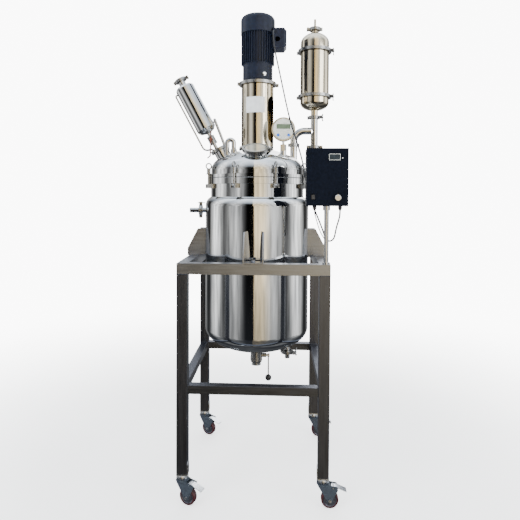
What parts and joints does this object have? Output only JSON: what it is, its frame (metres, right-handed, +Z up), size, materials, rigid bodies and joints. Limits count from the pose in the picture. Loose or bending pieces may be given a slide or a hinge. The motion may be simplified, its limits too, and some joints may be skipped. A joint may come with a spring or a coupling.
{
  "type": "jacketed_reactor",
  "caption": "Jacketed stainless steel stirred reactor on a wheeled frame, with a clamped lid, gear motor, dosing funnel, reflux column, thermometer and control box",
  "frame": {"origin": "On the floor under the wheels, on the vessel axis", "axes": "+Z up along the vessel axis, +X towards the control box and reflux column (right side seen from the front), -Y the front"},
  "size_m": [0.8766, 0.7611, 2.375],
  "materials": {
    "mirror_steel": "mirror polished stainless steel",
    "brushed_steel": "brushed stainless steel",
    "frame_steel": "brushed stainless steel tube",
    "zinc": "bright zinc plate",
    "fork_paint": "grey-blue paint",
    "tread": "dark red polyurethane",
    "seal": "white silicone",
    "box_paint": "dark navy paint",
    "motor_paint": "dark navy paint",
    "copper": "varnished winding and core",
    "gear_steel": "ground steel",
    "black_plastic": "black moulded plastic",
    "cable_black": "black cable sheath",
    "blue_plastic": "blue push button",
    "handle_brown": "brown coated rod"
  },
  "bodies": {
    "frame": {"agitator_column": "brushed_steel", "bolt_lugs": "brushed_steel", "caster_brackets": "zinc", "charging_cover": "mirror_steel", "control_box": "box_paint", "control_post": "brushed_steel", "discharge_valve": "brushed_steel", "dosing_funnel": "mirror_steel", "fan_cowl": "motor_paint", "flange_gasket": "seal", "frame_legs": "frame_steel", "funnel_valve": "brushed_steel", "gearbox_housing": "motor_paint", "inner_vessel": "mirror_steel", "jacket": "mirror_steel", "lid": "mirror_steel", "lower_rails": "frame_steel", "motor_cable": "cable_black", "motor_housing": "motor_paint", "pipe_clamps": "brushed_steel", "pipework": "mirror_steel", "probe_cable": "cable_black", "reflux_column": "mirror_steel", "shaft_seal": "brushed_steel", "stator": "copper", "support_lugs": "brushed_steel", "temperature_gauge": "brushed_steel", "terminal_box": "motor_paint", "top_rails": "frame_steel"},
    "agitator": {"agitator_shaft": "brushed_steel", "impeller": "brushed_steel", "output_gear": "gear_steel"},
    "layshaft": {"layshaft": "gear_steel"},
    "rotor": {"motor_rotor": "gear_steel"},
    "discharge_lever": {"discharge_handle": "brushed_steel"},
    "knob": {"speed_knob": "black_plastic"},
    "switch": {"power_switch": "black_plastic"},
    "button_left": {"gauge_button_left": "blue_plastic"},
    "button_right": {"gauge_button_right": "blue_plastic"},
    "funnel_lever": {"funnel_handle": "handle_brown"},
    "fork_front_left": {"caster_fork_front_left": "fork_paint"},
    "wheel_front_left": {"caster_wheel_front_left": "tread"},
    "pedal_front_left": {"brake_pedal_front_left": "zinc"},
    "fork_front_right": {"caster_fork_front_right": "fork_paint"},
    "wheel_front_right": {"caster_wheel_front_right": "tread"},
    "pedal_front_right": {"brake_pedal_front_right": "zinc"},
    "fork_rear_left": {"caster_fork_rear_left": "fork_paint"},
    "wheel_rear_left": {"caster_wheel_rear_left": "tread"},
    "pedal_rear_left": {"brake_pedal_rear_left": "zinc"},
    "fork_rear_right": {"caster_fork_rear_right": "fork_paint"},
    "wheel_rear_right": {"caster_wheel_rear_right": "tread"},
    "pedal_rear_right": {"brake_pedal_rear_right": "zinc"},
    "bolt_1": {"swing_bolt_1": "brushed_steel"},
    "bolt_2": {"swing_bolt_2": "brushed_steel"},
    "bolt_3": {"swing_bolt_3": "brushed_steel"},
    "bolt_4": {"swing_bolt_4": "brushed_steel"},
    "bolt_5": {"swing_bolt_5": "brushed_steel"},
    "bolt_6": {"swing_bolt_6": "brushed_steel"},
    "bolt_7": {"swing_bolt_7": "brushed_steel"},
    "bolt_8": {"swing_bolt_8": "brushed_steel"}
  },
  "joints": [
    {"name": "agitator_spin", "type": "hinge", "parent": "frame", "child": "agitator", "pos_m": [0, 0, 1.4], "axis": [0, 0, 1], "continuous": true},
    {"name": "layshaft_spin", "type": "hinge", "parent": "frame", "child": "layshaft", "pos_m": [0.036, 0, 2.05], "axis": [0, 0, 1], "continuous": true},
    {"name": "motor_spin", "type": "hinge", "parent": "frame", "child": "rotor", "pos_m": [0, 0, 2.15], "axis": [0, 0, 1], "continuous": true},
    {"name": "swivel_front_left", "type": "hinge", "parent": "frame", "child": "fork_front_left", "pos_m": [-0.325, -0.325, 0.11], "axis": [0, 0, 1], "continuous": true},
    {"name": "roll_front_left", "type": "hinge", "parent": "fork_front_left", "child": "wheel_front_left", "pos_m": [-0.29587, -0.3356, 0.04], "axis": [0.342, 0.9397, 0], "continuous": true},
    {"name": "pedal_front_left", "type": "hinge", "parent": "fork_front_left", "child": "pedal_front_left", "pos_m": [-0.28177, -0.34073, 0.098], "axis": [-0.342, -0.9397, 0], "range_deg": [0, 18]},
    {"name": "swivel_front_right", "type": "hinge", "parent": "frame", "child": "fork_front_right", "pos_m": [0.325, -0.325, 0.11], "axis": [0, 0, 1], "continuous": true},
    {"name": "roll_front_right", "type": "hinge", "parent": "fork_front_right", "child": "wheel_front_right", "pos_m": [0.356, -0.325, 0.04], "axis": [0, 1, 0], "continuous": true},
    {"name": "pedal_front_right", "type": "hinge", "parent": "fork_front_right", "child": "pedal_front_right", "pos_m": [0.371, -0.325, 0.098], "axis": [0, -1, 0], "range_deg": [0, 18]},
    {"name": "swivel_rear_left", "type": "hinge", "parent": "frame", "child": "fork_rear_left", "pos_m": [-0.325, 0.325, 0.11], "axis": [0, 0, 1], "continuous": true},
    {"name": "roll_rear_left", "type": "hinge", "parent": "fork_rear_left", "child": "wheel_rear_left", "pos_m": [-0.29668, 0.31239, 0.04], "axis": [0.4067, 0.9135, 0], "continuous": true},
    {"name": "pedal_rear_left", "type": "hinge", "parent": "fork_rear_left", "child": "pedal_rear_left", "pos_m": [-0.28298, 0.30629, 0.098], "axis": [-0.4067, -0.9135, 0], "range_deg": [0, 18]},
    {"name": "swivel_rear_right", "type": "hinge", "parent": "frame", "child": "fork_rear_right", "pos_m": [0.325, 0.325, 0.11], "axis": [0, 0, 1], "continuous": true},
    {"name": "roll_rear_right", "type": "hinge", "parent": "fork_rear_right", "child": "wheel_rear_right", "pos_m": [0.356, 0.325, 0.04], "axis": [0, 1, 0], "continuous": true},
    {"name": "pedal_rear_right", "type": "hinge", "parent": "fork_rear_right", "child": "pedal_rear_right", "pos_m": [0.371, 0.325, 0.098], "axis": [0, -1, 0], "range_deg": [0, 18]},
    {"name": "swing_1", "type": "hinge", "parent": "frame", "child": "bolt_1", "pos_m": [0.24021, 0.0995, 1.476], "axis": [-0.3827, 0.9239, 0], "range_deg": [0, 95]},
    {"name": "swing_2", "type": "hinge", "parent": "frame", "child": "bolt_2", "pos_m": [0.0995, 0.24021, 1.476], "axis": [-0.9239, 0.3827, 0], "range_deg": [0, 95]},
    {"name": "swing_3", "type": "hinge", "parent": "frame", "child": "bolt_3", "pos_m": [-0.0995, 0.24021, 1.476], "axis": [-0.9239, -0.3827, 0], "range_deg": [0, 95]},
    {"name": "swing_4", "type": "hinge", "parent": "frame", "child": "bolt_4", "pos_m": [-0.24021, 0.0995, 1.476], "axis": [-0.3827, -0.9239, 0], "range_deg": [0, 95]},
    {"name": "swing_5", "type": "hinge", "parent": "frame", "child": "bolt_5", "pos_m": [-0.24021, -0.0995, 1.476], "axis": [0.3827, -0.9239, 0], "range_deg": [0, 95]},
    {"name": "swing_6", "type": "hinge", "parent": "frame", "child": "bolt_6", "pos_m": [-0.0995, -0.24021, 1.476], "axis": [0.9239, -0.3827, 0], "range_deg": [0, 95]},
    {"name": "swing_7", "type": "hinge", "parent": "frame", "child": "bolt_7", "pos_m": [0.0995, -0.24021, 1.476], "axis": [0.9239, 0.3827, 0], "range_deg": [0, 95]},
    {"name": "swing_8", "type": "hinge", "parent": "frame", "child": "bolt_8", "pos_m": [0.24021, -0.0995, 1.476], "axis": [0.3827, 0.9239, 0], "range_deg": [0, 95]},
    {"name": "discharge_turn", "type": "hinge", "parent": "frame", "child": "discharge_lever", "pos_m": [0.04, 0, 0.588], "axis": [1, 0, 0], "range_deg": [-90, 0]},
    {"name": "funnel_turn", "type": "hinge", "parent": "frame", "child": "funnel_lever", "pos_m": [-0.2379, -0.02, 1.71973], "axis": [0, 1, 0], "range_deg": [0, 90]},
    {"name": "knob_turn", "type": "hinge", "parent": "frame", "child": "knob", "pos_m": [0.374, -0.385, 1.421], "axis": [0, -1, 0], "range_deg": [0, 270]},
    {"name": "switch_rock", "type": "hinge", "parent": "frame", "child": "switch", "pos_m": [0.266, -0.384, 1.424], "axis": [1, 0, 0], "range_deg": [0, 14]},
    {"name": "button_left_push", "type": "slide", "parent": "frame", "child": "button_left", "axis": [0, 1, 0], "range_m": [0, 0.0018], "stiffness_N_per_m": 200, "springref_m": -0.001},
    {"name": "button_right_push", "type": "slide", "parent": "frame", "child": "button_right", "axis": [0, 1, 0], "range_m": [0, 0.0018], "stiffness_N_per_m": 200, "springref_m": -0.001}
  ],
  "couplings": [
    {"joint": "layshaft_spin", "follows": "agitator_spin", "ratio": -3},
    {"joint": "motor_spin", "follows": "agitator_spin", "ratio": 9}
  ]
}
